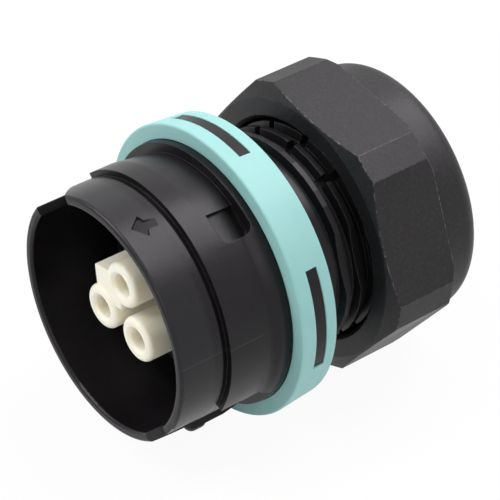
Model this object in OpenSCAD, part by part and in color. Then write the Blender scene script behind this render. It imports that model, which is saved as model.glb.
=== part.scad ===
// Circular panel socket with a bayonet sleeve, a soft flange ring and a domed gland nut.
// The axis runs along Y: the mouth looks towards -Y, the cable leaves towards +Y.
// The origin is on the axis, in the plane where the flange ring seats on the panel.
// Angles are counted about the axis from +X up towards +Z.

/* [Front sleeve] */
// Outside diameter of the sleeve at its mouth
sleeve_d = 29.8; // [29:0.1:30.6]
// Wall of the sleeve
sleeve_wall = 1.2; // [1:0.1:1.5]
// Reach of the sleeve in front of the panel seat
sleeve_reach = 19.5; // [18:0.1:24]
// Height of the raised band above the sleeve
band_rise = 0.6; // [0.5:0.05:0.9]
// Length of the raised band in front of the collar
band_len = 8.1; // [7:0.1:9]
// Height of the collar, which the flange ring butts against, above the band
collar_rise = 0.6; // [0.5:0.05:0.9]
// Length of the collar that shows in front of the flange ring
collar_len = 1.05; // [0.8:0.05:1.5]
// Length of the slope at the band's front
band_slope_len = 0.7; // [0.5:0.1:1.2]
// Length of the flare between the band and the collar
flare_len = 1.6; // [0.8:0.1:1.8]
// Radius on the edges of the rim
lip_r = 0.4; // [0.2:0.05:0.45]

/* [Entry notches] */
// Angle of the straight side of the first notch in the rim
notch_angle = 143.5; // [130:0.5:150]
// Angle that the first notch spans at the rim
notch_span = 29.5; // [20:0.5:36]
// Angle that the second, smaller notch spans at the rim
small_notch_span = 18; // [16:0.5:20]
// Angle that the notch spans at its foot
notch_foot_span = 9.5; // [5:0.5:15]
// Depth of the notch from the rim
notch_depth = 4.4; // [3:0.1:4.6]

/* [Bayonet tracks] */
// Angle of the closed end of the first track
track_angle = 49.5; // [40:0.5:60]
// Angle from the closed end to the far side of the entry channel
track_turn = 101; // [98:0.5:104]
// Width of a track along the axis
track_w = 4.5; // [3.8:0.1:5]
// Depth of a track at its rear wall
track_depth = 0.6; // [0.4:0.05:0.7]
// Angle that the locking pocket spans at the closed end
pocket_span = 14.5; // [10:0.5:20]
// Width of the pocket along the axis
pocket_w = 3.8; // [3:0.1:4.2]
// Depth of the pocket below the band
pocket_depth = 0.9; // [0.75:0.05:1]
// Corner radius of the pocket
pocket_corner_r = 1.0; // [0.4:0.1:1.4]
// Angle that the entry channel to the track spans
channel_span = 18; // [16:0.5:20]
// Depth of the entry channel below the sleeve
channel_depth = 0.15; // [0.1:0.05:0.3]

/* [Coding lug] */
// Angle of the lug on the sleeve
lug_angle = -50; // [-51:0.5:-49]
// Length of the lug along the axis
lug_len = 2.9; // [2.4:0.1:3]
// Distance of the lug's middle behind the band's front
lug_inset = 0.35; // [0.2:0.05:0.6]
// Height of the lug above the sleeve
lug_h = 0.9; // [0.5:0.05:1]

/* [Flange and ring] */
// Height of the soft ring above the collar, at the panel seat
ring_rise = 1.55; // [1.4:0.05:2]
// How far the ring's front edge stands out beyond its rear edge
ring_flare = 0.35; // [0.15:0.05:0.6]
// Thickness of the soft ring along the axis
ring_t = 5.05; // [4.6:0.05:6]
// Thickness of the flange plate inside the ring
flange_t = 1.85; // [1.6:0.05:2.2]
// Thickness of the ring between the flange plate and the panel
ring_rear_t = 1.4; // [1:0.05:1.8]
// Depth of the soft skin over the flange plate's edge
ring_skin = 0.9; // [0.6:0.05:1.2]
// Number of flange pads that show through the ring
pad_count = 4; // [2:1:6]
// Angle of the first pad's middle
pad_angle = 7.3; // [-20:0.1:40]
// Angle that a pad spans
pad_span = 41.5; // [20:0.5:50]
// Width of a pad along the axis
pad_w = 1.5; // [1:0.05:1.5]
// Radius on the ring's edges
ring_edge_r = 0.25; // [0.2:0.05:0.6]

/* [Threaded barrel] */
// Outside diameter over the thread
thread_d = 26.6; // [26:0.1:27.4]
// Depth of the thread
thread_depth = 1.05; // [0.7:0.05:1.2]
// Pitch of the right-hand thread
thread_pitch = 2.1; // [1.8:0.1:2.4]
// Width of the thread's crest
crest_w = 0.7; // [0.4:0.05:0.8]
// Width of the thread at its root
root_w = 1.6; // [1.3:0.05:1.7]
// Distance of the thread's start from the panel seat
thread_start = 4.3; // [3:0.1:5]
// Angle of the thread's start
thread_angle = 200; // [0:1:360]
// Length of the barrel behind the panel seat
barrel_len = 11.7; // [11.2:0.1:14]
// Diameter of the barrel's bore
barrel_bore_d = 20.8; // [20:0.1:21.4]
// Distance across the barrel's two flats
flats_across = 25.4; // [25:0.1:25.9]
// Angle of the first flat
flat_angle = 16; // [0:1:30]
// Width of the grooves that break the thread
groove_w = 1.0; // [0.5:0.1:1.5]
// Angle of the first groove
groove_angle = 59.5; // [56:0.5:66]
// Angle between neighbouring grooves
groove_pitch = 26; // [20:1:28]
// Number of grooves on each side between the flats
groove_count = 4; // [0:1:4]

/* [Inner tube] */
// Outside diameter of the inner tube
tube_d = 23.4; // [23:0.1:24]
// Depth of the inner tube's front below the rim
tube_recess = 10.5; // [9:0.1:12]
// Thickness of the web that carries the insert
web_t = 1.6; // [1.2:0.1:2]
// Diameter of the opening in the web
web_hole_d = 16.0; // [15:0.1:16.4]
// Thickness of the floor of the front annulus
floor_t = 2.1; // [1.6:0.1:2.6]

/* [Insert] */
// Outside diameter of a contact tower
tower_d = 5.5; // [5.2:0.1:6]
// Diameter of the circle through the tower centres
tower_pcd = 7.6; // [7.4:0.1:8]
// Angle of the first tower
tower_angle = 84; // [0:1:120]
// Depth of the tower fronts below the rim
tower_recess = 2.5; // [1:0.1:4]
// Radius on the towers' front edge
tower_edge_r = 0.6; // [0.2:0.1:0.7]
// Diameter of the pin hole in a tower
pin_hole_d = 2.8; // [2.5:0.1:3]
// Chamfer on the edge of the pin hole
pin_chamfer = 0.35; // [0.2:0.05:0.5]
// Length of the pin hole in front of the contact
pin_hole_len = 2.2; // [1:0.1:3]
// Angle that the coding block's end looks to, counted from the first tower
rib_turn = 103; // [95:1:110]
// Reach of the coding block's end from the axis
rib_reach = 4.45; // [4:0.05:5]
// Reach of the coding block's long side from the axis
rib_side = 4.35; // [3.6:0.05:4.8]
// Depth of the block's front behind the tower fronts
rib_recess = 0.35; // [0.2:0.05:1.5]
// Thickness of the insert's flange
insert_flange_t = 1.7; // [1.4:0.1:2]
// Diameter of the terminal body
terminal_body_d = 19.0; // [18:0.1:19.2]
// Reach of the terminal body behind the panel seat
terminal_reach = 3.0; // [2:0.1:4]

/* [Contacts] */
// Outside diameter of the contact's socket end
socket_d = 3.5; // [3.3:0.05:3.6]
// Diameter of the contact's bore for the mating pin
socket_bore_d = 2.4; // [2.2:0.05:2.5]
// Diameter of the contact's terminal end
terminal_d = 4.8; // [4.4:0.1:5]
// Diameter of the hole for the wire
wire_hole_d = 3.0; // [2:0.1:3.2]
// Depth of the hole for the wire
wire_hole_depth = 7.4; // [6:0.1:7.6]
// Width of the slits in the socket end
slit_w = 0.4; // [0.2:0.05:0.6]
// Length of the slits
slit_len = 5.0; // [3:0.1:6]
// Width of the spring ring on the socket end
spring_w = 1.2; // [0.8:0.1:1.6]
// Thickness of the spring ring
spring_t = 0.3; // [0.2:0.05:0.35]
// Distance of the terminal screw's axis in front of the terminal body's end
screw_inset = 3.4; // [2.6:0.1:3.6]
// Diameter of the terminal screw's shank
screw_d = 2.0; // [1.6:0.1:2.2]
// Diameter of the terminal screw's head
screw_head_d = 3.2; // [2.8:0.1:3.3]
// Height of the terminal screw's head
screw_head_h = 1.6; // [1:0.1:2]

/* [Seals and clip] */
// Width of the seal groove in the insert's flange
seal_groove_w = 1.1; // [0.9:0.05:1.2]
// Depth of the seal groove
seal_groove_depth = 0.8; // [0.6:0.05:0.9]
// Thickness of the mating seal
mating_seal_t = 1.2; // [0.8:0.1:2]
// Thickness of the retaining clip
clip_t = 0.8; // [0.6:0.05:1]
// Depth of the clip's groove in the barrel's bore
clip_groove_depth = 0.65; // [0.4:0.05:0.7]
// Angle of the opening in the clip
clip_gap_angle = 50; // [30:1:90]

/* [Gland nut] */
// How much narrower the nut is across its flats than the ring at the panel seat
nut_flat_step = 2.2; // [1:0.1:2.4]
// How much wider the nut is across its cut corners than the ring at the panel seat
nut_corner_step = 0.9; // [0.3:0.1:2]
// Angle of the nut's first flat
nut_angle = 21.6; // [0:0.1:60]
// Clear distance between the panel seat and the nut
nut_gap = 8.3; // [7:0.1:9]
// Thinnest panel that the nut clamps
panel_min = 1.1; // [0.8:0.1:3]
// Length of the hexagon
hex_len = 9.2; // [8:0.1:10.4]
// How much narrower the nut's flat front face is than the nut across its flats
nut_face_step = 0.5; // [0.3:0.1:1.5]
// Angle between the front chamfer and the face
nut_chamfer_angle = 22; // [15:1:35]
// Length of the chamfer on the hexagon's rear corners
nut_rear_chamfer = 0.5; // [0.3:0.1:1]
// How much narrower the domed end is than the nut across its flats
dome_step = 1.6; // [1.2:0.1:2]
// Radius of the dome's edge
dome_edge_r = 2.2; // [1.2:0.1:2.4]
// Thickness of the nut's end wall
nut_end_t = 2.4; // [2.2:0.1:4]
// Diameter of the cable hole in the end wall
cable_hole_d = 13.6; // [12:0.1:15]

/* [Cable gland] */
// Thickness of the slip washer
washer_t = 0.8; // [0.6:0.1:1.2]
// Thickness of the clamp cage's flange
cage_flange_t = 0.9; // [0.7:0.1:1.2]
// Length of the clamp cage's fingers
finger_len = 6.4; // [5:0.1:6.8]
// Thickness of the fingers
finger_t = 1.2; // [0.9:0.1:1.5]
// Number of fingers
finger_count = 8; // [6:1:12]
// Width of the slits between the fingers
finger_slit_w = 1.2; // [0.8:0.1:1.6]
// Thickness of the cable seal's front lip
seal_lip_t = 1.5; // [1:0.1:1.9]
// Diameter of the cable seal's hole
seal_hole_d = 9.5; // [8:0.1:10.5]

/* [Clearances] */
// Gap between pieces that stay put
seat_gap = 0.05; // [0.03:0.01:0.1]
// Gap around pieces that slide or turn
run_gap = 0.3; // [0.25:0.05:0.4]
// Gap between the nut and the crest of the thread
thread_gap = 0.4; // [0.3:0.05:0.5]
// Gap between the nut's end wall and the slip washer
washer_gap = 0.1; // [0.05:0.05:0.3]

/* [Hidden] */
$fn = 96;

// Overlap of cutting tools and joined shapes
cut = 0.5;
// Steps of the helical thread in a turn, and over which it rises at its ends
thread_steps = 40;
thread_lead_steps = 4;
// How far the thread's root is sunk into the barrel, and the height that is left of it at its ends
thread_sink = 0.4;
thread_tail_h = 0.2;
// How far the grooves cut into the barrel below the thread, and the share of a turn in front of them
groove_bite = 0.1;
groove_lead = 0.9;
// Angle between the points of a rounded outline
arc_step = 15;
// How far the tracks reach into the collar
track_bite = 0.1;
// Thickness of sleeve that is left under the lug
lug_floor = 0.1;
// Distance of the step in the contact chambers behind the web
terminal_step_inset = 1.0;
// Depth of the contacts' ends inside the terminal body
contact_inset = 0.3;
// Depth of the screw heads inside the terminal body, and how far the screws reach into the wire holes
screw_sink = 0.3;
screw_bite = 0.3;
// Angle between the slits of a contact
slit_turn = 90;
// Angle from the middle of a flat of the nut to the next corner
corner_turn = 30;
// Turn between the two sides of the sleeve and of the barrel
half_turn = 180;
// Number of contacts, and the angle between them
contact_count = 3;
contact_turn = 360 / contact_count;

// Places along the axis, from the mouth to the cable end
rim_y = -sleeve_reach;
collar_front_y = -ring_t - collar_len;
band_front_y = collar_front_y - band_len;
track_rear_y = collar_front_y + track_bite;
flange_rear_y = -ring_rear_t;
flange_front_y = flange_rear_y - flange_t;
floor_front_y = flange_rear_y - floor_t;
tube_front_y = rim_y + tube_recess;
web_rear_y = tube_front_y + web_t;
tower_front_y = rim_y + tower_recess;
insert_flange_rear_y = web_rear_y + insert_flange_t;
clip_front_y = insert_flange_rear_y + seat_gap;
terminal_step_y = web_rear_y + terminal_step_inset;
contact_front_y = tower_front_y + pin_hole_len + seat_gap;
contact_rear_y = terminal_reach - contact_inset;
screw_y = terminal_reach - screw_inset;
groove_front_y = thread_start + groove_lead * thread_pitch;
nut_travel_in = nut_gap - panel_min;
cage_front_y = barrel_len + nut_travel_in + run_gap;
washer_front_y = cage_front_y + cage_flange_t;
nut_seat_y = washer_front_y + washer_t + washer_gap;
nut_end_y = nut_seat_y + nut_end_t;
hex_rear_y = nut_gap + hex_len;
finger_front_y = cage_front_y - finger_len;
seal_front_y = finger_front_y - seat_gap - seal_lip_t;

// Radii
sleeve_r = sleeve_d / 2;
sleeve_bore_r = sleeve_r - sleeve_wall;
band_r = sleeve_r + band_rise;
collar_r = band_r + collar_rise;
ring_rear_r = collar_r + ring_rise;
flange_r = ring_rear_r - ring_skin;
crest_r = thread_d / 2;
root_r = crest_r - thread_depth;
bore_r = barrel_bore_d / 2;
tube_r = tube_d / 2;
web_hole_r = web_hole_d / 2;
tower_r = tower_d / 2;
tower_place_r = tower_pcd / 2;
socket_r = socket_d / 2;
terminal_r = terminal_d / 2;
terminal_body_r = terminal_body_d / 2;
insert_flange_r = bore_r - seat_gap;
clip_groove_r = bore_r + clip_groove_depth;
nut_bore_r = crest_r + thread_gap;
nut_across = 2 * ring_rear_r - nut_flat_step;
nut_corners = 2 * ring_rear_r + nut_corner_step;
finger_r = bore_r - run_gap;
seal_r = finger_r - finger_t - seat_gap;
seal_groove_mid_r = (web_hole_r + insert_flange_r) / 2;

// Turns a shape drawn along Z so that it runs backwards along Y
module lay_back() {
    rotate([-90, 0, 0]) children();
}

// Turns a shape about the axis to a stated angle
module clock(angle) {
    rotate([0, 0, -angle]) children();
}

// Repeats a shape on both sides of the axis
module both_sides() {
    for (side = [0, 1]) {
        rotate([0, 0, side * half_turn]) children();
    }
}

// Repeats a shape at the three contact places
module at_contacts() {
    for (i = [0:contact_count - 1]) {
        clock(tower_angle + i * contact_turn) translate([tower_place_r, 0, 0]) children();
    }
}

// A straight run of a round bar or bore along the axis
module rod(r, from, to) {
    translate([0, 0, from]) cylinder(r = r, h = to - from);
}

// A ring with a rectangular section
module hoop(r_in, r_out, from, to) {
    rotate_extrude() translate([r_in, from]) square([r_out - r_in, to - from]);
}

// Part of a ring with a rectangular section
module arc_block(r_in, r_out, from_angle, span, from, to) {
    clock(from_angle + span) rotate_extrude(angle = span)
        translate([r_in, from]) square([r_out - r_in, to - from]);
}

// A flat outline pushed outwards from a radius: its first axis runs around the part, its second along it
module push_out(from_r, to_r) {
    rotate([90, 0, 90]) translate([0, 0, from_r]) linear_extrude(height = to_r - from_r) children();
}

// A rectangle with rounded corners on the side of its larger first coordinates
module half_rounded(w, h, r) {
    polygon(concat(
        [[-w / 2, h / 2], [-w / 2, -h / 2]],
        [for (a = [-90:arc_step:0]) [w / 2 - r + r * cos(a), -h / 2 + r + r * sin(a)]],
        [for (a = [0:arc_step:90]) [w / 2 - r + r * cos(a), h / 2 - r + r * sin(a)]]));
}

// Section of the shell, turned about the axis
module shell_section() {
    edge = 0.2;
    flare_steps = 6;
    polygon([
        [bore_r, barrel_len],
        [bore_r, web_rear_y],
        [web_hole_r, web_rear_y],
        [web_hole_r, tube_front_y],
        [tube_r - edge, tube_front_y],
        [tube_r, tube_front_y + edge],
        [tube_r, floor_front_y],
        [sleeve_bore_r, floor_front_y],
        [sleeve_bore_r, rim_y + lip_r],
        [sleeve_bore_r + lip_r, rim_y],
        [sleeve_r - lip_r, rim_y],
        [sleeve_r, rim_y + lip_r],
        for (i = [0:flare_steps]) [
            sleeve_r + (band_r - sleeve_r) * (1 - cos(180 * i / flare_steps)) / 2,
            band_front_y + band_slope_len * (i / flare_steps - 1 / 2)
        ],
        for (i = [0:flare_steps]) [
            band_r + (collar_r - band_r) * (1 - cos(180 * i / flare_steps)) / 2,
            collar_front_y - flare_len * (1 - i / flare_steps)
        ],
        [collar_r, flange_front_y],
        [flange_r, flange_front_y],
        [flange_r, flange_rear_y],
        [root_r, flange_rear_y],
        [root_r, barrel_len - edge],
        [root_r - edge, barrel_len]
    ]);
    translate([sleeve_bore_r + lip_r, rim_y + lip_r]) circle(lip_r);
    translate([sleeve_r - lip_r, rim_y + lip_r]) circle(lip_r);
}

// One turn-wise slice of the thread: a trapezium that sinks into the barrel at both ends of its run
function thread_slice(angle, place, rise) =
    let (
        foot_r = root_r - thread_sink,
        tail_r = foot_r + thread_tail_h,
        top_r = tail_r + (crest_r - tail_r) * rise,
        corners = [[foot_r, -root_w / 2], [top_r, -crest_w / 2], [top_r, crest_w / 2], [foot_r, root_w / 2]]
    )
    [for (corner = corners) [corner[0] * cos(angle), corner[0] * sin(angle), place + corner[1]]];

// The helical ridge of the barrel's thread
module thread_ridge() {
    run = barrel_len - thread_start - root_w / 2;
    slices = floor(run / thread_pitch * thread_steps);
    points = [for (i = [0:slices]) each thread_slice(
        i * 360 / thread_steps, thread_start + i * thread_pitch / thread_steps,
        min(1, i / thread_lead_steps, (slices - i) / thread_lead_steps))];
    sides = [for (i = [0:slices - 1], k = [0:3])
        let (a = 4 * i + k, b = 4 * i + (k + 1) % 4) each [[a, b + 4, a + 4], [a, b, b + 4]]];
    clock(thread_angle) polyhedron(
        points = points,
        faces = concat([[3, 2, 1, 0]], sides, [[for (k = [0:3]) 4 * slices + k]]),
        convexity = 10);
}

// Notch in the rim with one straight and one sloping side
module rim_notch(span) {
    mid_angle = notch_angle - span / 2;
    rim_x = sleeve_r * sin(span / 2);
    foot_x = rim_x - sleeve_r * sin(notch_foot_span);
    clock(mid_angle) push_out(sleeve_bore_r - sleeve_wall, sleeve_r + cut) polygon([
        [-rim_x, rim_y - cut],
        [-rim_x, rim_y + notch_depth],
        [-foot_x, rim_y + notch_depth],
        [rim_x, rim_y],
        [rim_x, rim_y - cut]
    ]);
}

// Bayonet track: an entry channel, a floor that slopes in to a rear wall, and a pocket at the closed end
module bayonet_track() {
    slope = track_depth / track_w;
    far_angle = track_angle + track_turn;
    lap_angle = 1.5;
    lap = 1.5;
    clock(far_angle - lap_angle) rotate_extrude(angle = track_turn - lap_angle - pocket_span / 2) polygon([
        [band_r + cut * slope, track_rear_y - track_w - cut],
        [band_r - track_depth, track_rear_y],
        [collar_r + cut, track_rear_y],
        [collar_r + cut, track_rear_y - track_w - cut]
    ]);
    arc_block(sleeve_r - channel_depth, collar_r + cut, far_angle - channel_span, channel_span,
        rim_y - cut, track_rear_y - lap);
    pocket_x = 2 * band_r * sin(pocket_span / 2);
    clock(track_angle + pocket_span / 2) push_out(band_r - pocket_depth, collar_r + cut)
        translate([0, track_rear_y - pocket_w / 2]) half_rounded(pocket_x, pocket_w, pocket_corner_r);
}

// Raised lug with round ends, in front of the band
module coding_lug() {
    lug_r = (lug_h + sleeve_wall - lug_floor) / 2;
    clock(lug_angle) translate([sleeve_r + lug_h - lug_r, 0, band_front_y + lug_inset])
        rotate_extrude() polygon(concat(
            [for (a = [-90:arc_step:0]) [lug_r * cos(a), lug_r - lug_len / 2 + lug_r * sin(a)]],
            [for (a = [0:arc_step:90]) [lug_r * cos(a), lug_len / 2 - lug_r + lug_r * sin(a)]]));
}

// Blocks of the flange plate that reach out through the windows of the soft ring, or the windows themselves
module flange_pads(reach_r, gap) {
    mid_y = (flange_front_y + flange_rear_y) / 2;
    gap_angle = gap / flange_r * 180 / PI;
    for (i = [0:pad_count - 1]) {
        from_angle = pad_angle + i * 360 / pad_count - pad_span / 2;
        arc_block(flange_r - cut, reach_r, from_angle - gap_angle, pad_span + 2 * gap_angle,
            mid_y - pad_w / 2 - gap, mid_y + pad_w / 2 + gap);
    }
}

// Flats that break the thread, and grooves that start behind its first turn
module barrel_cuts() {
    flat_r = flats_across / 2;
    both_sides() {
        clock(flat_angle) translate([flat_r, -crest_r, 0]) cube([crest_r, 2 * crest_r, barrel_len + cut]);
        for (i = [1:1:groove_count]) {
            clock(groove_angle + (i - 1) * groove_pitch)
                translate([root_r - groove_bite, -groove_w / 2, groove_front_y])
                cube([thread_depth + groove_bite + cut, groove_w, barrel_len]);
        }
    }
}

// One moulding: sleeve, band, flange, inner tube and threaded barrel
module socket_shell() {
    color("#222224") lay_back() difference() {
        union() {
            rotate_extrude() shell_section();
            thread_ridge();
            coding_lug();
            flange_pads(ring_rear_r, 0);
        }
        both_sides() bayonet_track();
        rim_notch(notch_span);
        rotate([0, 0, half_turn]) rim_notch(small_notch_span);
        barrel_cuts();
        hoop(bore_r - cut, clip_groove_r, clip_front_y, clip_front_y + clip_t + 2 * seat_gap);
    }
}

// Soft ring wrapped around the flange plate, with a window for each pad
module flange_gasket() {
    front_r = ring_rear_r + ring_flare;
    rear_edge_r = ring_edge_r / 2;
    color("#5fbfb8") lay_back() difference() {
        rotate_extrude() polygon([
            [collar_r + seat_gap, -ring_t],
            for (a = [-90:arc_step:0]) [
                front_r - ring_edge_r + ring_edge_r * cos(a),
                -ring_t + ring_edge_r + ring_edge_r * sin(a)
            ],
            for (a = [0:arc_step:90]) [
                ring_rear_r - rear_edge_r + rear_edge_r * cos(a),
                -rear_edge_r + rear_edge_r * sin(a)
            ],
            [root_r + run_gap, 0],
            [root_r + run_gap, flange_rear_y + seat_gap],
            [flange_r + seat_gap, flange_rear_y + seat_gap],
            [flange_r + seat_gap, flange_front_y - seat_gap],
            [collar_r + seat_gap, flange_front_y - seat_gap]
        ]);
        flange_pads(front_r + cut, seat_gap);
    }
}

// Flat ring at the foot of the front annulus
module mating_seal() {
    color("#303234") lay_back()
        hoop(tube_r + seat_gap, sleeve_bore_r - seat_gap, floor_front_y - mating_seal_t, floor_front_y);
}

// Round tower with a rolled front edge
module tower() {
    edge_y = tower_front_y + tower_edge_r;
    rotate_extrude() {
        translate([0, edge_y]) square([tower_r, tube_front_y + cut - edge_y]);
        translate([0, tower_front_y]) square([tower_r - tower_edge_r, tower_edge_r + cut]);
        translate([tower_r - tower_edge_r, edge_y]) circle(tower_edge_r);
    }
}

// Coding block that fills the corner between two towers, with a rounded outer edge
module coding_block() {
    front = tower_front_y + rib_recess;
    corner_r = 0.35;
    clock(tower_angle + rib_turn) translate([0, 0, front])
        linear_extrude(height = tube_front_y + cut - front) polygon(concat(
            [[0, rib_side], [0, 0], [rib_reach, 0]],
            [for (a = [0:2 * arc_step:90]) [
                rib_reach - corner_r + corner_r * cos(a),
                rib_side - corner_r + corner_r * sin(a)
            ]]));
}

// Stepped hole for a contact and the radial hole for its screw
module contact_chamber() {
    pin_r = pin_hole_d / 2;
    rod(pin_r, tower_front_y - cut, contact_front_y);
    translate([0, 0, tower_front_y - cut])
        cylinder(r1 = pin_r + pin_chamfer + cut, r2 = pin_r, h = pin_chamfer + cut);
    rod(socket_r + seat_gap, contact_front_y - seat_gap, terminal_step_y + cut);
    rod(terminal_r + seat_gap, terminal_step_y, terminal_reach + cut);
    translate([0, 0, screw_y]) rotate([0, 90, 0])
        cylinder(d = screw_head_d + 4 * seat_gap, h = terminal_body_r);
}

// Ivory moulding with towers in front and screw terminals behind
module contact_insert() {
    color("#e9e4d2") lay_back() difference() {
        union() {
            at_contacts() tower();
            coding_block();
            rod(tower_r, tube_front_y - 2 * tower_edge_r, tube_front_y + cut);
            rod(web_hole_r - seat_gap, tube_front_y, web_rear_y + cut);
            rod(insert_flange_r, web_rear_y, insert_flange_rear_y);
            rod(terminal_body_r, insert_flange_rear_y - cut, terminal_reach);
        }
        at_contacts() contact_chamber();
        hoop(seal_groove_mid_r - seal_groove_w / 2, seal_groove_mid_r + seal_groove_w / 2,
            web_rear_y - cut, web_rear_y + seal_groove_depth);
    }
}

// Round ring in the groove of the insert's flange
module insert_seal() {
    ring_r = seal_groove_depth / 2 - seat_gap / 2;
    color("#2b2b2d") lay_back() rotate_extrude()
        translate([seal_groove_mid_r, web_rear_y + seal_groove_depth / 2]) circle(ring_r);
}

// Open spring ring behind the insert's flange
module retaining_clip() {
    color("#9aa0a6") lay_back() arc_block(
        terminal_body_r + seat_gap, clip_groove_r - seat_gap,
        lug_angle + clip_gap_angle / 2, 360 - clip_gap_angle,
        clip_front_y, clip_front_y + clip_t);
}

// Turned socket contact with a slit front and a screw terminal
module contact(angle) {
    groove_r = socket_r - spring_t;
    spring_front_y = contact_front_y + spring_w;
    color("#c9a24a") lay_back() clock(angle) translate([tower_place_r, 0, 0]) difference() {
        rotate_extrude() polygon([
            [socket_bore_d / 2, contact_front_y],
            [socket_r, contact_front_y],
            [socket_r, spring_front_y],
            [groove_r, spring_front_y],
            [groove_r, spring_front_y + spring_w + 2 * seat_gap],
            [socket_r, spring_front_y + spring_w + 2 * seat_gap],
            [socket_r, terminal_step_y + seat_gap],
            [terminal_r, terminal_step_y + seat_gap],
            [terminal_r, contact_rear_y],
            [wire_hole_d / 2, contact_rear_y],
            [wire_hole_d / 2, contact_rear_y - wire_hole_depth],
            [socket_bore_d / 2, contact_rear_y - wire_hole_depth]
        ]);
        for (turn = [0, slit_turn]) {
            rotate([0, 0, turn]) translate([-socket_d / 2 - cut, -slit_w / 2, contact_front_y - cut])
                cube([socket_d + 2 * cut, slit_w, slit_len + cut]);
        }
        translate([0, 0, screw_y]) rotate([0, 90, 0]) cylinder(d = screw_d + 2 * seat_gap, h = terminal_d);
    }
}

module contact_line() {
    contact(tower_angle);
}

module contact_neutral() {
    contact(tower_angle + contact_turn);
}

module contact_earth() {
    contact(tower_angle + 2 * contact_turn);
}

// Open spring rings that close the slit sockets on the pin
module contact_springs() {
    spring_front_y = contact_front_y + spring_w + seat_gap;
    spring_gap_angle = 40;
    color("#b9bec4") lay_back() at_contacts() arc_block(
        socket_r - spring_t + seat_gap / 2, socket_r,
        spring_gap_angle / 2 + slit_turn / 2, 360 - spring_gap_angle,
        spring_front_y, spring_front_y + spring_w);
}

// Slotted screw that points at the wire
module terminal_screw() {
    head_top = terminal_body_r - tower_place_r - screw_sink;
    slot = 0.5;
    translate([0, 0, screw_y]) rotate([0, 90, 0]) difference() {
        union() {
            rod(screw_d / 2, wire_hole_d / 2 - screw_bite, head_top);
            rod(screw_head_d / 2, head_top - screw_head_h, head_top);
        }
        translate([-screw_head_d, -slot / 2, head_top - slot]) cube([2 * screw_head_d, slot, slot + cut]);
    }
}

module terminal_screws() {
    color("#c8ccd0") lay_back() at_contacts() terminal_screw();
}

// Soft bush that grips the cable, with a lip in front of the fingers
module cable_seal() {
    hole_r = seal_hole_d / 2;
    flare = 0.8;
    color("#3a3c3e") lay_back() rotate_extrude() polygon([
        [hole_r + flare, seal_front_y],
        [finger_r, seal_front_y],
        [finger_r, seal_front_y + seal_lip_t],
        [seal_r, seal_front_y + seal_lip_t],
        [seal_r, washer_front_y - seat_gap],
        [hole_r + flare, washer_front_y - seat_gap],
        [hole_r, washer_front_y - seat_gap - flare],
        [hole_r, seal_front_y + flare]
    ]);
}

// Cage with a ring of fingers around the bush
module clamp_cage() {
    color("#d8d8d2") lay_back() difference() {
        union() {
            hoop(seal_r + seat_gap, nut_bore_r - run_gap, cage_front_y, washer_front_y);
            hoop(seal_r + seat_gap, finger_r, finger_front_y, cage_front_y + cut);
        }
        for (i = [0:finger_count - 1]) {
            clock(i * 360 / finger_count)
                translate([seal_r - cut, -finger_slit_w / 2, finger_front_y - cut])
                cube([finger_t + 2 * cut, finger_slit_w, finger_len]);
        }
    }
}

// Washer that lets the nut turn on the cage
module slip_washer() {
    color("#c4c8cc") lay_back()
        hoop(cable_hole_d / 2, nut_bore_r - run_gap, washer_front_y, washer_front_y + washer_t);
}

// Outside of the nut's hexagon: flats, cut corners and chamfers
module nut_hexagon() {
    hexagon_r = 1 / cos(corner_turn);
    reach = nut_corners / 2 + cut;
    face_r = (nut_across - nut_face_step) / 2;
    intersection() {
        translate([0, 0, nut_gap]) clock(nut_angle + corner_turn)
            cylinder(r = nut_across / 2 * hexagon_r, h = hex_len, $fn = 6);
        translate([0, 0, nut_gap]) clock(nut_angle)
            cylinder(r = nut_corners / 2 * hexagon_r, h = hex_len, $fn = 6);
        rotate_extrude() polygon([
            [0, nut_gap],
            [face_r, nut_gap],
            [reach, nut_gap + (reach - face_r) * tan(nut_chamfer_angle)],
            [reach, hex_rear_y - nut_rear_chamfer - cut],
            [reach - nut_rear_chamfer - cut, hex_rear_y],
            [0, hex_rear_y]
        ]);
    }
}

// Round end of the nut with a rolled edge
module nut_dome() {
    dome_r = (nut_across - dome_step) / 2;
    rotate_extrude() {
        translate([0, hex_rear_y - cut]) square([dome_r, nut_end_y - dome_edge_r - hex_rear_y + cut]);
        translate([0, hex_rear_y]) square([dome_r - dome_edge_r, nut_end_y - hex_rear_y]);
        translate([dome_r - dome_edge_r, nut_end_y - dome_edge_r]) circle(dome_edge_r);
    }
}

// Hexagonal gland nut with a domed end
module gland_nut() {
    lead_in = 0.5;
    color("#262628") lay_back() difference() {
        union() {
            nut_hexagon();
            nut_dome();
        }
        rod(nut_bore_r, nut_gap - cut, nut_seat_y);
        translate([0, 0, nut_gap - seat_gap])
            cylinder(r1 = nut_bore_r + lead_in, r2 = nut_bore_r, h = lead_in);
        rod(cable_hole_d / 2, nut_seat_y - cut, nut_end_y + cut);
    }
}

socket_shell();
flange_gasket();
mating_seal();
contact_insert();
insert_seal();
retaining_clip();
contact_line();
contact_neutral();
contact_earth();
contact_springs();
terminal_screws();
cable_seal();
clamp_cage();
slip_washer();
gland_nut();
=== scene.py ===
"""Looks of a circular panel socket: finishes, moulded marks, and a small photo studio around it.

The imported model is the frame. Its axis runs along Y with the mouth towards -Y, and Z is up, in metres.
"""

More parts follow.
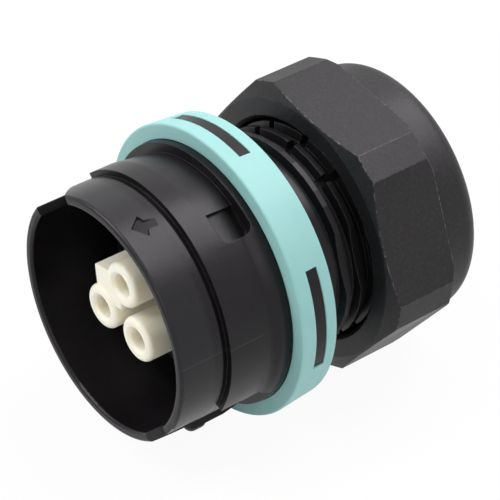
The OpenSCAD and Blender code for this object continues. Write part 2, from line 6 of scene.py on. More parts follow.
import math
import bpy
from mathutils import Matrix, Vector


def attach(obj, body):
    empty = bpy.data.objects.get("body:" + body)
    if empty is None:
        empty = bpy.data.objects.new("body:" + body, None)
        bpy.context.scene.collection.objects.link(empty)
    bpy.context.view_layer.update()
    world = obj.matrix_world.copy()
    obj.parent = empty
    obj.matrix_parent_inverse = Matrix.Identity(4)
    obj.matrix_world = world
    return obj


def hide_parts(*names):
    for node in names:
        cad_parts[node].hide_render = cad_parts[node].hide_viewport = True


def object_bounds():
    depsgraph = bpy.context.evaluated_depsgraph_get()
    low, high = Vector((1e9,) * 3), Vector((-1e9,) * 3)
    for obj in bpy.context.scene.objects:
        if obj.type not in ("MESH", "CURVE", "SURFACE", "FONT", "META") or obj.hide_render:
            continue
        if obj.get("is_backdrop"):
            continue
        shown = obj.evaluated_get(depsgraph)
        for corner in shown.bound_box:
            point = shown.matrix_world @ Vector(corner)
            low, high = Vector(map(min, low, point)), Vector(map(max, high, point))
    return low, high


bl_info = {
    "name": "Circular Panel Socket",
    "version": (1, 0, 0),
    "blender": (4, 5, 0),
    "location": "View3D > Sidebar > Panel Socket",
    "description": "Finishes, moulded marks and studio for a circular panel socket with a domed gland nut",
    "category": "Object",
}

import bmesh
import bpy
from bpy.props import FloatProperty, FloatVectorProperty, PointerProperty
from mathutils import Matrix, Vector
from mathutils.bvhtree import BVHTree
from mathutils.interpolate import poly_3d_calc

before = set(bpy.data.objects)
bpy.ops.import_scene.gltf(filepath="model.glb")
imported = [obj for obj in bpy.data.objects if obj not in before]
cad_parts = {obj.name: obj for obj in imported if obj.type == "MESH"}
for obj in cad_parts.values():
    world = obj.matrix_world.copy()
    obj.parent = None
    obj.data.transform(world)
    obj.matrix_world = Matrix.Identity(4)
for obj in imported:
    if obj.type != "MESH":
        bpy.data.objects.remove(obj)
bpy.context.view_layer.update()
MM = 0.001
# Points of the CAD mesh that lie closer than this, in metres, are one point
WELD = 1e-7


def linear(hex_code):
    """Linear red, green and blue of an sRGB hex colour."""
    parts = [int(hex_code[i:i + 2], 16) / 255 for i in (1, 3, 5)]
    return tuple(c / 12.92 if c <= 0.04045 else ((c + 0.055) / 1.055) ** 2.4 for c in parts)


def add(tree, kind, settings=None, inputs=None):
    """Adds a node with its settings, and fills each input with a value or a link."""
    made = tree.nodes.new(kind)
    for name, value in (settings or {}).items():
        setattr(made, name, value)
    for key, value in (inputs or {}).items():
        if isinstance(value, bpy.types.NodeSocket):
            tree.links.new(value, made.inputs[key])
        else:
            made.inputs[key].default_value = value
    return made


def per_metre(size_mm):
    """Texture scale that repeats about once in a size given in millimetres."""
    return 1 / (size_mm * MM)


def new_finish(name):
    """A node material with its principled shader and the piece's own coordinates."""
    material = bpy.data.materials.new(name)
    material.use_nodes = True
    tree = material.node_tree
    shader = tree.nodes["Principled BSDF"]
    place = add(tree, "ShaderNodeTexCoord").outputs["Object"]
    return material, tree, shader, place


def opaque(colour):
    """A colour property as the four numbers that a socket takes."""
    return (*colour, 1.0)


def outer_skin(tree, place, radius):
    """Mask of what lies outside a radius about the axis, and the coordinates that it is made from."""
    axes = add(tree, "ShaderNodeSeparateXYZ", inputs={0: place}).outputs
    across = add(tree, "ShaderNodeCombineXYZ", inputs={"X": axes["X"], "Z": axes["Z"]})
    reach = add(tree, "ShaderNodeVectorMath", {"operation": "LENGTH"}, {0: across.outputs["Vector"]})
    # It fades in from 0.4 to 0.1 mm below the radius
    skin = add(tree, "ShaderNodeMapRange", inputs={
        "Value": reach.outputs["Value"], "From Min": radius - 0.4 * MM, "From Max": radius - 0.1 * MM})
    return skin.outputs["Result"], axes


def sleeve_painted_sheen(tree, place):
    """Mask of the sleeve's front, where a paler base colour paints a sheen; it fades out over half a
    millimetre.
    """
    sizes = bpy.context.scene.socket_sizes
    skin, axes = outer_skin(tree, place, sizes.sleeve_radius)
    front = add(tree, "ShaderNodeMapRange", inputs={
        "Value": axes["Y"], "From Min": sizes.painted_sheen_end, "From Max": sizes.painted_sheen_end - 0.5 * MM})
    both = add(tree, "ShaderNodeMath", {"operation": "MULTIPLY"}, {0: skin, 1: front.outputs["Result"]})
    return both.outputs["Value"]


def parting_line(tree, place):
    """Mask of the faint line along the sleeve and the band where the halves of the mould met."""
    half_width, fade, strength = 0.06 * MM, 1.5 * MM, 0.055
    sizes = bpy.context.scene.socket_sizes
    skin, axes = outer_skin(tree, place, sizes.sleeve_radius)
    angle = add(tree, "ShaderNodeMath", {"operation": "ARCTAN2"}, {0: axes["Z"], 1: axes["X"]})
    off = add(tree, "ShaderNodeMath", {"operation": "SUBTRACT"}, {
        0: angle.outputs["Value"], 1: sizes.parting_angle})
    gap = add(tree, "ShaderNodeMath", {"operation": "ABSOLUTE"}, {0: off.outputs["Value"]})
    half = half_width / sizes.sleeve_radius
    line = add(tree, "ShaderNodeMapRange", inputs={
        "Value": gap.outputs["Value"], "From Min": 2 * half, "From Max": half})
    front = add(tree, "ShaderNodeMapRange", inputs={
        "Value": axes["Y"], "From Min": sizes.parting_end, "From Max": sizes.parting_end - fade,
        "To Max": strength})
    both = add(tree, "ShaderNodeMath", {"operation": "MULTIPLY"}, {0: skin, 1: line.outputs["Result"]})
    held = add(tree, "ShaderNodeMath", {"operation": "MULTIPLY"}, {
        0: both.outputs["Value"], 1: front.outputs["Result"]})
    return held.outputs["Value"]


def black_polyamide(name, colour, roughness, grain_mm, grain_depth_mm, gloss, flecks, scuffs, edge_mm,
                    marks=()):
    """Glass-filled polyamide, moulded in a spark-eroded tool.

    The eye sees a satin black with a fine even grain, pale flecks of glass in its skin, a faint cloudy
    drift, and edges that are rubbed paler. Each mark is a mask function with the tone that shows there.
    """
    colours = bpy.context.scene.socket_colours
    material, tree, shader, place = new_finish(name)
    grain = add(tree, "ShaderNodeTexNoise", inputs={
        "Vector": place, "Scale": per_metre(grain_mm), "Detail": 3.0, "Roughness": 0.6})
    cloud = add(tree, "ShaderNodeTexNoise", inputs={
        "Vector": place, "Scale": per_metre(7.0), "Detail": 4.0, "Roughness": 0.55})
    tone = add(tree, "ShaderNodeMapRange", inputs={
        "Value": cloud.outputs["Fac"], "From Min": 0.3, "From Max": 0.7, "To Min": 0.8, "To Max": 1.2})
    body = add(tree, "ShaderNodeVectorMath", {"operation": "SCALE"}, {
        0: colour, "Scale": tone.outputs["Result"]})
    skin = body.outputs["Vector"]
    # Marks: tones painted over the body; the sleeve's paler front among them is a painted sheen
    for mask, mark in marks:
        skin = add(tree, "ShaderNodeMix", {"data_type": "RGBA"}, {
            0: mask(tree, place), 6: skin, 7: opaque(mark)}).outputs[2]
    # Glass: short flecks in the skin, where the fine grain rises highest
    fleck = add(tree, "ShaderNodeMapRange", inputs={
        "Value": grain.outputs["Fac"], "From Min": 0.45, "From Max": 0.72, "To Min": 0.0, "To Max": flecks})
    glass = add(tree, "ShaderNodeMix", {"data_type": "RGBA"}, {
        0: fleck.outputs["Result"], 6: skin, 7: opaque(colours.fleck)})
    # Edges: where a rounded normal leaves the face's own one, broken up by a speckle of half a millimetre
    soft = add(tree, "ShaderNodeBevel", {"samples": 6}, {"Radius": edge_mm * MM})
    face = add(tree, "ShaderNodeNewGeometry")
    turn = add(tree, "ShaderNodeVectorMath", {"operation": "DOT_PRODUCT"}, {
        0: soft.outputs["Normal"], 1: face.outputs["Normal"]})
    edge = add(tree, "ShaderNodeMapRange", inputs={
        "Value": turn.outputs["Value"], "From Min": 0.992, "From Max": 0.93, "To Min": 0.0, "To Max": 1.0})
    chips = add(tree, "ShaderNodeTexNoise", inputs={
        "Vector": place, "Scale": per_metre(0.55), "Detail": 2.0, "Roughness": 0.7})
    chip = add(tree, "ShaderNodeMapRange", inputs={
        "Value": chips.outputs["Fac"], "From Min": 0.46, "From Max": 0.64, "To Min": 0.0, "To Max": scuffs})
    worn = add(tree, "ShaderNodeMath", {"operation": "MULTIPLY"}, {
        0: edge.outputs["Result"], 1: chip.outputs["Result"]})
    mix = add(tree, "ShaderNodeMix", {"data_type": "RGBA"}, {
        0: worn.outputs["Value"], 6: glass.outputs[2], 7: opaque(colours.scuff)})
    satin = add(tree, "ShaderNodeMapRange", inputs={
        "Value": cloud.outputs["Fac"], "From Min": 0.3, "From Max": 0.7,
        "To Min": roughness - 0.05, "To Max": roughness + 0.05})
    bump = add(tree, "ShaderNodeBump", inputs={
        "Strength": 1.0, "Distance": grain_depth_mm * MM, "Height": grain.outputs["Fac"],
        "Normal": soft.outputs["Normal"]})
    tree.links.new(mix.outputs[2], shader.inputs["Base Color"])
    tree.links.new(satin.outputs["Result"], shader.inputs["Roughness"])
    tree.links.new(bump.outputs["Normal"], shader.inputs["Normal"])
    shader.inputs["IOR"].default_value = 1.53
    shader.inputs["Specular IOR Level"].default_value = gloss
    shader.inputs["Specular Tint"].default_value = opaque(colours.sheen)
    return material


def soft_elastomer(name, colour, deep_colour, roughness, grain_mm, glow):
    """Thermoplastic elastomer or rubber, moulded in a matt tool.

    The eye sees a dull, slightly milky skin without sharp highlights, a little deeper in tone in patches.
    """
    material, tree, shader, place = new_finish(name)
    cloud = add(tree, "ShaderNodeTexNoise", inputs={
        "Vector": place, "Scale": per_metre(5.0), "Detail": 5.0, "Roughness": 0.6})
    part = add(tree, "ShaderNodeMapRange", inputs={
        "Value": cloud.outputs["Fac"], "From Min": 0.35, "From Max": 0.7, "To Min": 0.0, "To Max": 0.35})
    mix = add(tree, "ShaderNodeMix", {"data_type": "RGBA"}, {
        0: part.outputs["Result"], 6: opaque(colour), 7: opaque(deep_colour)})
    grain = add(tree, "ShaderNodeTexNoise", inputs={
        "Vector": place, "Scale": per_metre(grain_mm), "Detail": 2.0, "Roughness": 0.5})
    dull = add(tree, "ShaderNodeMapRange", inputs={
        "Value": grain.outputs["Fac"], "From Min": 0.3, "From Max": 0.7,
        "To Min": roughness - 0.06, "To Max": roughness + 0.06})
    soft = add(tree, "ShaderNodeBevel", {"samples": 6}, {"Radius": 0.15 * MM})
    bump = add(tree, "ShaderNodeBump", inputs={
        "Strength": 1.0, "Distance": 0.006 * MM, "Height": grain.outputs["Fac"],
        "Normal": soft.outputs["Normal"]})
    tree.links.new(mix.outputs[2], shader.inputs["Base Color"])
    tree.links.new(dull.outputs["Result"], shader.inputs["Roughness"])
    tree.links.new(bump.outputs["Normal"], shader.inputs["Normal"])
    shader.inputs["IOR"].default_value = 1.49
    shader.inputs["Subsurface Weight"].default_value = glow
    shader.inputs["Subsurface Radius"].default_value = (0.5, 0.9, 0.8)
    shader.inputs["Subsurface Scale"].default_value = 1.0 * MM
    return material


def pale_polyamide(name, colour, deep_colour, roughness, glow):
    """Unfilled polyamide, moulded in a smooth tool.

    The eye sees a waxy, slightly see-through body with soft shadows, warm in its hollows, and a low gloss.
    """
    material, tree, shader, place = new_finish(name)
    flow = add(tree, "ShaderNodeTexNoise", inputs={
        "Vector": place, "Scale": per_metre(3.0), "Detail": 4.0, "Roughness": 0.5, "Distortion": 0.6})
    part = add(tree, "ShaderNodeMapRange", inputs={
        "Value": flow.outputs["Fac"], "From Min": 0.4, "From Max": 0.75, "To Min": 0.0, "To Max": 0.4})
    mix = add(tree, "ShaderNodeMix", {"data_type": "RGBA"}, {
        0: part.outputs["Result"], 6: opaque(colour), 7: opaque(deep_colour)})
    grain = add(tree, "ShaderNodeTexNoise", inputs={
        "Vector": place, "Scale": per_metre(0.4), "Detail": 2.0, "Roughness": 0.5})
    gloss = add(tree, "ShaderNodeMapRange", inputs={
        "Value": flow.outputs["Fac"], "From Min": 0.3, "From Max": 0.7,
        "To Min": roughness - 0.05, "To Max": roughness + 0.05})
    soft = add(tree, "ShaderNodeBevel", {"samples": 6}, {"Radius": 0.2 * MM})
    bump = add(tree, "ShaderNodeBump", inputs={
        "Strength": 1.0, "Distance": 0.004 * MM, "Height": grain.outputs["Fac"],
        "Normal": soft.outputs["Normal"]})
    tree.links.new(mix.outputs[2], shader.inputs["Base Color"])
    tree.links.new(gloss.outputs["Result"], shader.inputs["Roughness"])
    tree.links.new(bump.outputs["Normal"], shader.inputs["Normal"])
    shader.inputs["IOR"].default_value = 1.53
    shader.inputs["Subsurface Weight"].default_value = glow
    shader.inputs["Subsurface Radius"].default_value = (1.0, 0.75, 0.4)
    shader.inputs["Subsurface Scale"].default_value = 1.6 * MM
    return material


def turned_metal(name, colour, roughness, line_mm):
    """Metal turned on a lathe or drawn from wire.

    The eye sees a bright metal crossed by fine lines that run round the axis, with faint stains. The lines
    are drawn coarser than the real ones, so that they show.
    """
    material, tree, shader, place = new_finish(name)
    # The wave texture runs through 20 radians for each unit of its scale
    lines = add(tree, "ShaderNodeTexWave", {"wave_type": "BANDS", "bands_direction": "Y"}, {
        "Vector": place, "Scale": per_metre(line_mm) * math.tau / 20, "Distortion": 0.8, "Detail": 2.0})
    stain = add(tree, "ShaderNodeTexNoise", inputs={
        "Vector": place, "Scale": per_metre(2.5), "Detail": 4.0, "Roughness": 0.6})
    tone = add(tree, "ShaderNodeMapRange", inputs={
        "Value": stain.outputs["Fac"], "From Min": 0.3, "From Max": 0.7, "To Min": 0.85, "To Max": 1.05})
    body = add(tree, "ShaderNodeVectorMath", {"operation": "SCALE"}, {
        0: colour, "Scale": tone.outputs["Result"]})
    polish = add(tree, "ShaderNodeMapRange", inputs={
        "Value": lines.outputs["Fac"], "From Min": 0.0, "From Max": 1.0,
        "To Min": roughness - 0.05, "To Max": roughness + 0.08})
    bump = add(tree, "ShaderNodeBump", inputs={
        "Strength": 0.6, "Distance": 0.004 * MM, "Height": lines.outputs["Fac"]})
    tree.links.new(body.outputs["Vector"], shader.inputs["Base Color"])
    tree.links.new(polish.outputs["Result"], shader.inputs["Roughness"])
    tree.links.new(bump.outputs["Normal"], shader.inputs["Normal"])
    shader.inputs["Metallic"].default_value = 1.0
    return material


def dress(node, material):
    """Gives a CAD node its finish in place of the plain one."""
    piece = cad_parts[node]
    piece.data.materials.clear()
    piece.data.materials.append(material)


class SocketColours(bpy.types.PropertyGroup):
    """Colours of the mouldings and metals."""

    shell: FloatVectorProperty(
        name="Shell", description="Black of the socket's body", subtype="COLOR", size=3,
        min=0, max=1, default=linear("#110f11"))
    nut: FloatVectorProperty(
        name="Nut", description="Black of the gland nut", subtype="COLOR", size=3,
        min=0, max=1, default=linear("#131213"))
    # Painted sheen: a paler black on the sleeve's front that stands in for the light it reflects
    sleeve: FloatVectorProperty(
        name="Sleeve", description="Paler black of the sleeve's matt front", subtype="COLOR", size=3,
        min=0, max=1, default=linear("#1d1c1e"))
    fleck: FloatVectorProperty(
        name="Flecks", description="Grey of the glass flecks in the black mouldings", subtype="COLOR", size=3,
        min=0, max=1, default=linear("#454446"))
    sheen: FloatVectorProperty(
        name="Sheen", description="Faint tint of the light that the black mouldings reflect",
        subtype="COLOR", size=3, min=0, max=1, default=linear("#fff9ff"))
    scuff: FloatVectorProperty(
        name="Scuffs", description="Paler tone where black edges are rubbed", subtype="COLOR", size=3,
        min=0, max=1, default=linear("#8a898b"))
    ring: FloatVectorProperty(
        name="Ring", description="Teal of the soft flange ring", subtype="COLOR", size=3,
        min=0, max=1, default=linear("#95c7c5"))
    ring_deep: FloatVectorProperty(
        name="Ring, deep", description="Deeper teal in patches of the ring", subtype="COLOR", size=3,
        min=0, max=1, default=linear("#88bcba"))
    insert: FloatVectorProperty(
        name="Insert", description="Ivory of the contact insert", subtype="COLOR", size=3,
        min=0, max=1, default=linear("#f0ebdc"))
    insert_deep: FloatVectorProperty(
        name="Insert, deep", description="Warmer ivory in patches of the insert", subtype="COLOR", size=3,
        min=0, max=1, default=linear("#e9e3d0"))
    rubber: FloatVectorProperty(
        name="Rubber", description="Black of the seals", subtype="COLOR", size=3,
        min=0, max=1, default=linear("#242526"))
    cage: FloatVectorProperty(
        name="Cage", description="Natural white of the clamp cage", subtype="COLOR", size=3,
        min=0, max=1, default=linear("#dcdad0"))
    brass: FloatVectorProperty(
        name="Brass", description="Yellow of the turned contacts", subtype="COLOR", size=3,
        min=0, max=1, default=linear("#d8b46a"))
    steel: FloatVectorProperty(
        name="Steel", description="Grey of springs and screws", subtype="COLOR", size=3,
        min=0, max=1, default=linear("#b9bdc1"))


class SocketSizes(bpy.types.PropertyGroup):
    """Places and sizes of what is cut into the shell, and of the marks on it."""

    sleeve_radius: FloatProperty(
        name="Sleeve radius", description="Outside radius of the sleeve at the mouth",
        default=14.9 * MM, unit="LENGTH", precision=5)
    # Where the painted sheen on the sleeve's front ends along the axis
    painted_sheen_end: FloatProperty(
        name="Matt front's end", description="Place along the axis where the sleeve's matt front ends",
        default=-14.6 * MM, unit="LENGTH", precision=5)
    parting_end: FloatProperty(
        name="Parting line's end", description="Place along the axis where the parting line has faded out",
        default=-7.7 * MM, unit="LENGTH", precision=5)
    parting_angle: FloatProperty(
        name="Parting line", description="Angle of the parting line about the axis, from +X up towards +Z",
        default=math.radians(8), subtype="ANGLE")
    arrow_angle: FloatProperty(
        name="Arrow angle", description="Angle of the arrow's tip about the axis, from +X up towards +Z",
        default=math.radians(73.4), subtype="ANGLE")
    arrow_tilt: FloatProperty(
        name="Arrow tilt", description="Turn of the arrow on the sleeve, away from the axis",
        default=math.radians(7), subtype="ANGLE")
    arrow_tip: FloatProperty(
        name="Arrow tip", description="Place of the arrow's tip along the axis",
        default=-17.7 * MM, unit="LENGTH", precision=5)
    arrow_length: FloatProperty(
        name="Arrow length", description="Length of the arrow", default=2.9 * MM, unit="LENGTH", precision=5)
    arrow_barb: FloatProperty(
        name="Arrow barb", description="Distance of the barbs behind the tip",
        default=1.25 * MM, unit="LENGTH", precision=5)
    arrow_head: FloatProperty(
        name="Arrow head", description="Half width of the arrow's head",
        default=1.25 * MM, unit="LENGTH", precision=5)
    arrow_shaft: FloatProperty(
        name="Arrow shaft", description="Half width of the arrow's shaft",
        default=0.5 * MM, unit="LENGTH", precision=5)
    mark_depth: FloatProperty(
        name="Mark depth", description="How deep the arrow is sunk at its tip",
        default=0.55 * MM, unit="LENGTH", precision=5)
    mark_bevel: FloatProperty(
        name="Mark bevel", description="Width of the slope round the arrow",
        default=0.16 * MM, unit="LENGTH", precision=5)
    pocket_angle: FloatProperty(
        name="Pocket angle", description="Angle of one bayonet pocket about the axis, from +X up towards +Z",
        default=math.radians(56.75), subtype="ANGLE")
    pocket_middle: FloatProperty(
        name="Pocket middle", description="Place of the bayonet pockets along the axis",
        default=-7.9 * MM, unit="LENGTH", precision=5)
    pocket_floor: FloatProperty(
        name="Pocket floor", description="Distance of the pockets' floors from the axis, at their front",
        default=14.6 * MM, unit="LENGTH", precision=5)
    pocket_slope: FloatProperty(
        name="Pocket slope", description="How much deeper the pockets' floors lie at their rear",
        default=0.4 * MM, unit="LENGTH", precision=5)
    band_wall: FloatProperty(
        name="Band wall", description="Place along the axis of the steep wall at the band's front",
        default=-13.1 * MM, unit="LENGTH", precision=5)


class SocketStudio(bpy.types.PropertyGroup):
    """Camera and light of the studio."""

    azimuth: FloatProperty(
        name="Azimuth", description="Direction of the camera round the socket", subtype="ANGLE",
        default=math.radians(51.75))
    elevation: FloatProperty(
        name="Elevation", description="Height of the camera above the horizon", subtype="ANGLE",
        default=math.radians(36.84))
    distance: FloatProperty(
        name="Distance", description="Distance of the camera from the panel seat", unit="LENGTH",
        default=287.9 * MM, precision=4)
    lens: FloatProperty(
        name="Lens", description="Focal length on a 36 mm sensor, in millimetres", default=180.0)
    back_power: FloatProperty(
        name="Back light", default=2.5, subtype="POWER",
        description="Power of the softbox above and behind, which draws the sheen on the sleeve")
    left_power: FloatProperty(
        name="Left light", default=0.5, subtype="POWER",
        description="Power of the large softbox behind on the left, which lights the nut's top")
    front_power: FloatProperty(
        name="Front light", default=2.1, subtype="POWER",
        description="Power of the softbox above the mouth, on the left")
    fill_power: FloatProperty(
        name="Fill light", default=0.45, subtype="POWER",
        description="Power of the weak softbox beside the camera")
    surround: FloatProperty(
        name="Surround", description="Brightness of the white walls around, as light", default=0.27)
    floor_white: FloatProperty(
        name="Floor white", default=0.94, min=0, max=1, subtype="FACTOR",
        description="Share of its own white in what the camera and reflections see of the floor")


class SOCKET_OT_shell(bpy.types.Operator):
    """Makes the socket's body from its CAD node, with the band's front, pocket floors and arrow cut in it"""

    bl_idname = "panel_socket.shell"
    bl_label = "Make Shell"

    def execute(self, context):
        c = context.scene.socket_colours
        s = context.scene.socket_sizes
        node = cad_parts["socket_shell"]
        body = bmesh.new()
        body.from_mesh(node.data)
        bmesh.ops.remove_doubles(body, verts=body.verts[:], dist=WELD)
        blank = self.placed(context, "shell_blank", body)
        tools = [self.placed(context, make.__name__, make(s))
                 for make in (self.arrow_tool, self.groove_tool, self.pocket_tool)]
        for tool in tools:
            cut = blank.modifiers.new(tool.name, "BOOLEAN")
            cut.operation = "DIFFERENCE"
            cut.solver = "EXACT"
            cut.object = tool
        data = bpy.data.meshes.new_from_object(blank.evaluated_get(context.evaluated_depsgraph_get()))
        for spent in (blank, *tools):
            spent_data = spent.data
            bpy.data.objects.remove(spent)
            bpy.data.meshes.remove(spent_data)
        if not data.polygons:
            raise RuntimeError("The cuts left nothing of the shell")
        data.name = "moulded_shell"
        self.shade(data, node.data)
        # Moulded black polyamide: satin, with few flecks and rubbed edges. Its grain is drawn at a third of a
        # millimetre, because a finer one wouldn't show
        finish = black_polyamide(
            "moulded_black_polyamide", c.shell, roughness=0.32, grain_mm=0.33, grain_depth_mm=0.012,
            gloss=0.22, flecks=0.05, scuffs=0.15, edge_mm=0.1,
            # The sleeve's front gets a paler base colour: a painted sheen
            marks=((sleeve_painted_sheen, c.sleeve), (parting_line, c.scuff)))
        data.materials.clear()
        data.materials.append(finish)
        piece = bpy.data.objects.new("moulded_shell", data)
        context.scene.collection.objects.link(piece)
        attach(piece, "socket")
        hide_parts("socket_shell")
        return {"FINISHED"}

    def placed(self, context, name, mesh):
        """An object of a finished mesh, in the scene"""
        data = bpy.data.meshes.new(name)
        mesh.to_mesh(data)
        mesh.free()
        held = bpy.data.objects.new(name, data)
        context.scene.collection.objects.link(held)
        return held

    def closed(self, mesh):
        """The mesh in triangles, with its faces looking outwards"""
        bmesh.ops.triangulate(mesh, faces=mesh.faces[:])
        bmesh.ops.recalc_face_normals(mesh, faces=mesh.faces[:])
        if mesh.calc_volume(signed=True) < 0:
            bmesh.ops.reverse_faces(mesh, faces=mesh.faces[:])
        return mesh

    def prism(self, mesh, rings):
        """Faces between rings of points in a row, and a lid on the last and the first of them"""
        for here, there in zip(rings, rings[1:]):
            for i in range(len(here)):
                j = (i + 1) % len(here)
                mesh.faces.new((here[i], here[j], there[j], there[i]))
        mesh.faces.new(rings[-1])
        mesh.faces.new(list(reversed(rings[0])))

    def arrow_tool(self, s):
        """The arrow as a solid to cut with: its floor sinks from the tail to the tip, and its walls lean"""
        # The neck's distance behind the barbs, and how far the tool stands above the sleeve
        sweep, above = 0.3 * MM, 0.08 * MM
        # The strips that let the tool bend round the sleeve: their width, and how many lie on each side
        strip, strips = 0.3 * MM, 6
        half = [(0.0, 0.0), (s.arrow_head, s.arrow_barb), (s.arrow_shaft, s.arrow_barb + sweep),
                (s.arrow_shaft, s.arrow_length)]
        outline = [Vector(p) for p in half] + [Vector((-x, y)) for x, y in reversed(half[1:])]
        brim = self.grown(outline, s.mark_bevel * (1 + above / s.mark_depth))
        mesh = bmesh.new()
        low = [mesh.verts.new((*p, -self.depth(s, p.y))) for p in outline]
        high = [mesh.verts.new((*p, above)) for p in brim]
        self.prism(mesh, (low, high))
        for k in range(-strips, strips + 1):
            bmesh.ops.bisect_plane(
                mesh, geom=mesh.verts[:] + mesh.edges[:] + mesh.faces[:],
                plane_co=(k * strip, 0, 0), plane_no=(1, 0, 0))
        tilt = Matrix.Rotation(s.arrow_tilt, 2)
        for vert in mesh.verts:
            x, y = tilt @ vert.co.xy
            angle = s.arrow_angle + x / s.sleeve_radius
            r = s.sleeve_radius + vert.co.z
            vert.co = (r * math.cos(angle), s.arrow_tip + y, r * math.sin(angle))
        return self.closed(mesh)

    def depth(self, s, behind):
        """How deep the arrow's floor lies at a distance behind its tip: it rises nearly to the sleeve"""
        rise = 0.95
        return s.mark_depth * (1 - rise * behind / s.arrow_length)

    def groove_tool(self, s):
        """A hoop, open at the lug, which cuts a shallow groove and the steep wall at the band's front"""
        # Distance above the sleeve and distance from the wall along the axis, in millimetres
        section = ((-0.008, -1.6), (-0.012, -0.75), (-0.06, -0.55), (-0.12, -0.4), (-0.16, -0.3),
                   (-0.17, -0.2), (-0.17, 0.0), (0.9, 0.0), (0.9, -1.6))
        # Its ends beside the lug and its steps, in degrees about the axis
        first, last, step = -46, 306, 2
        mesh = bmesh.new()
        rings = []
        for degrees in range(first, last + 1, step):
            a = math.radians(degrees)
            rings.append([mesh.verts.new((
                (s.sleeve_radius + up * MM) * math.cos(a), s.band_wall + along * MM,
                (s.sleeve_radius + up * MM) * math.sin(a))) for up, along in section])
        self.prism(mesh, rings)
        return self.closed(mesh)

    def pocket_tool(self, s):
        """Two wedges that let the floors of the bayonet pockets sink towards the flange"""
        # Half sizes of a floor across and along the axis, and its two round corners, in millimetres
        across, along, corner = 1.92, 1.87, 0.97
        # How far a wedge reaches below the CAD node's floor at its front, and above it
        bite, above = 0.01 * MM, 0.2 * MM
        bends = [math.radians(degrees) for degrees in range(0, 91, 15)]
        outline = [(across, -along), (across, along)]
        outline += [(corner * (1 - math.sin(a)) - across, along - corner * (1 - math.cos(a))) for a in bends]
        outline += [(corner * (1 - math.cos(a)) - across, corner * (1 - math.sin(a)) - along) for a in bends]
        mesh = bmesh.new()
        for turn in (s.pocket_angle, s.pocket_angle + math.pi):
            low, high = [], []
            for x, y in outline:
                sunk = bite + s.pocket_slope * (y + along) / (2 * along)
                for ring, r in ((low, s.pocket_floor - sunk), (high, s.pocket_floor + above)):
                    ring.append(mesh.verts.new((
                        r * math.cos(turn) - x * MM * math.sin(turn), s.pocket_middle + y * MM,
                        r * math.sin(turn) + x * MM * math.cos(turn))))
            self.prism(mesh, (low, high))
        return self.closed(mesh)

    def grown(self, outline, distance):
        """The outline moved outwards, square to each of its sides"""
        moved = []
        for before, here, after in zip(outline[-1:] + outline[:-1], outline, outline[1:] + outline[:1]):
            a, b = (here - before).normalized(), (after - here).normalized()
            out_a, out_b = Vector((a.y, -a.x)), Vector((b.y, -b.x))
            moved.append(here + (out_a + out_b) * distance / (1 + out_a.dot(out_b)))
        return moved

    def shade(self, data, cad):
        """Smooth shading: the CAD node's own normals where its surface is left, by angle on what was cut"""
        # Cosines of the angles within which a face lies in the CAD surface, and cut faces shade as one
        flush, smooth = 0.9999, math.cos(math.radians(32))
        data.shade_smooth()
        faces = [tuple(p.vertices) for p in cad.polygons]
        points = [v.co for v in cad.vertices]
        tree = BVHTree.FromPolygons(points, faces)
        around = [[] for _ in data.vertices]
        for face in data.polygons:
            for v in face.vertices:
                around[v].append(face)
        normals = [None] * len(data.loops)
        for face in data.polygons:
            _, normal, index, gap = tree.find_nearest(face.center)
            kept = gap < WELD and normal.dot(face.normal) > flush
            corners = [points[i] for i in faces[index]]
            own = [cad.corner_normals[k].vector for k in cad.polygons[index].loop_indices]
            for k in face.loop_indices:
                v = data.loops[k].vertex_index
                if kept:
                    mixed = zip(own, poly_3d_calc(corners, data.vertices[v].co))
                else:
                    mixed = ((f.normal, f.area) for f in around[v] if f.normal.dot(face.normal) > smooth)
                normals[k] = sum((n * share for n, share in mixed), Vector()).normalized()
        data.normals_split_custom_set(normals)


class SOCKET_OT_ring(bpy.types.Operator):
    """Gives the flange ring its soft teal finish"""

    bl_idname = "panel_socket.ring"
    bl_label = "Finish Flange Ring"

    def execute(self, context):
        c = context.scene.socket_colours
        # Moulded thermoplastic elastomer: matt and milky. Its grain is drawn at a quarter of a millimetre, so
        # that it shows
        finish = soft_elastomer(
            "moulded_teal_elastomer", c.ring, c.ring_deep, roughness=0.55, grain_mm=0.25, glow=0.15)
        dress("flange_gasket", finish)
        return {"FINISHED"}


class SOCKET_OT_insert(bpy.types.Operator):
    """Gives the contact insert its ivory finish"""

    bl_idname = "panel_socket.insert"
    bl_label = "Finish Insert"

    def execute(self, context):
        c = context.scene.socket_colours
        # Moulded polyamide coloured ivory: waxy, with light that passes through the towers' walls
        finish = pale_polyamide("moulded_ivory_polyamide", c.insert, c.insert_deep, roughness=0.42, glow=0.6)
        dress("contact_insert", finish)
        return {"FINISHED"}


class SOCKET_OT_contacts(bpy.types.Operator):
    """Gives the contacts, springs, screws and clip their metals"""

    bl_idname = "panel_socket.contacts"
    bl_label = "Finish Contacts"

    def execute(self, context):
        c = context.scene.socket_colours
        # Turned brass: warm yellow and bright, with the closest lines of the three
        brass = turned_metal("turned_brass", c.brass, roughness=0.28, line_mm=0.754)
        # Drawn spring steel: cool grey with a soft polish
        spring = turned_metal("drawn_spring_steel", c.steel, roughness=0.32, line_mm=1.257)
        # Steel with bright zinc: the same grey, a little duller
        zinc = turned_metal("zinc_plated_steel", c.steel, roughness=0.36, line_mm=0.942)
        for node in ("contact_line", "contact_neutral", "contact_earth"):
            dress(node, brass)
        for node in ("contact_springs", "retaining_clip"):
            dress(node, spring)
        dress("terminal_screws", zinc)
        return {"FINISHED"}


class SOCKET_OT_seals(bpy.types.Operator):
    """Gives the rubber seals their finish"""

    bl_idname = "panel_socket.seals"
    bl_label = "Finish Seals"

    def execute(self, context):
        c = context.scene.socket_colours
        # Moulded rubber: dull black, without light in its body
        finish = soft_elastomer(
            "moulded_black_rubber", c.rubber, c.shell, roughness=0.62, grain_mm=0.3, glow=0.0)
        for node in ("mating_seal", "insert_seal", "cable_seal"):
            dress(node, finish)
        return {"FINISHED"}


